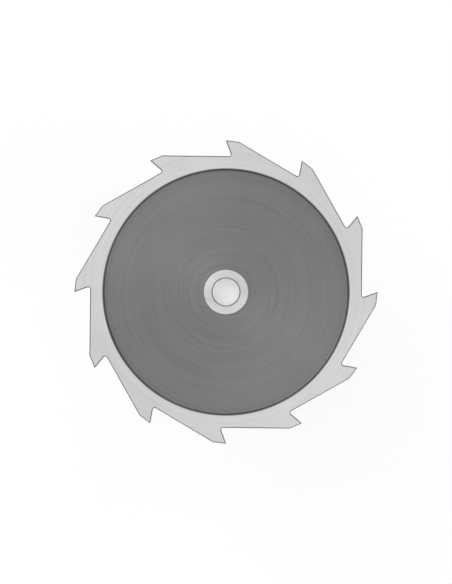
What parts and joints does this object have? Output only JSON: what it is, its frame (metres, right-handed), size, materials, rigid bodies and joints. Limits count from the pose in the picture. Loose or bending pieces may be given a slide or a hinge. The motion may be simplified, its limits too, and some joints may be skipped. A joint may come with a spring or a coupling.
{
  "type": "woodruff keyseat cutter",
  "caption": "Shank-type milling cutter for half-moon keyseats: a narrow disc with straight relieved teeth and shallow side recesses, on a slim neck and a plain round shank.",
  "frame": {"origin": "centre of the flat end of the shank, which the tool stands on", "axes": "+Z along the tool's axis from the shank to the cutting head; +Y through one of the cutting edges"},
  "size_m": [0.0286, 0.0286, 0.071],
  "materials": {
    "ground_steel": "fine ground tool steel; the recesses in the head and the neck are left darkened"
  },
  "bodies": {
    "root": {"keyseat_cutter": "ground_steel"}
  },
  "joints": []
}
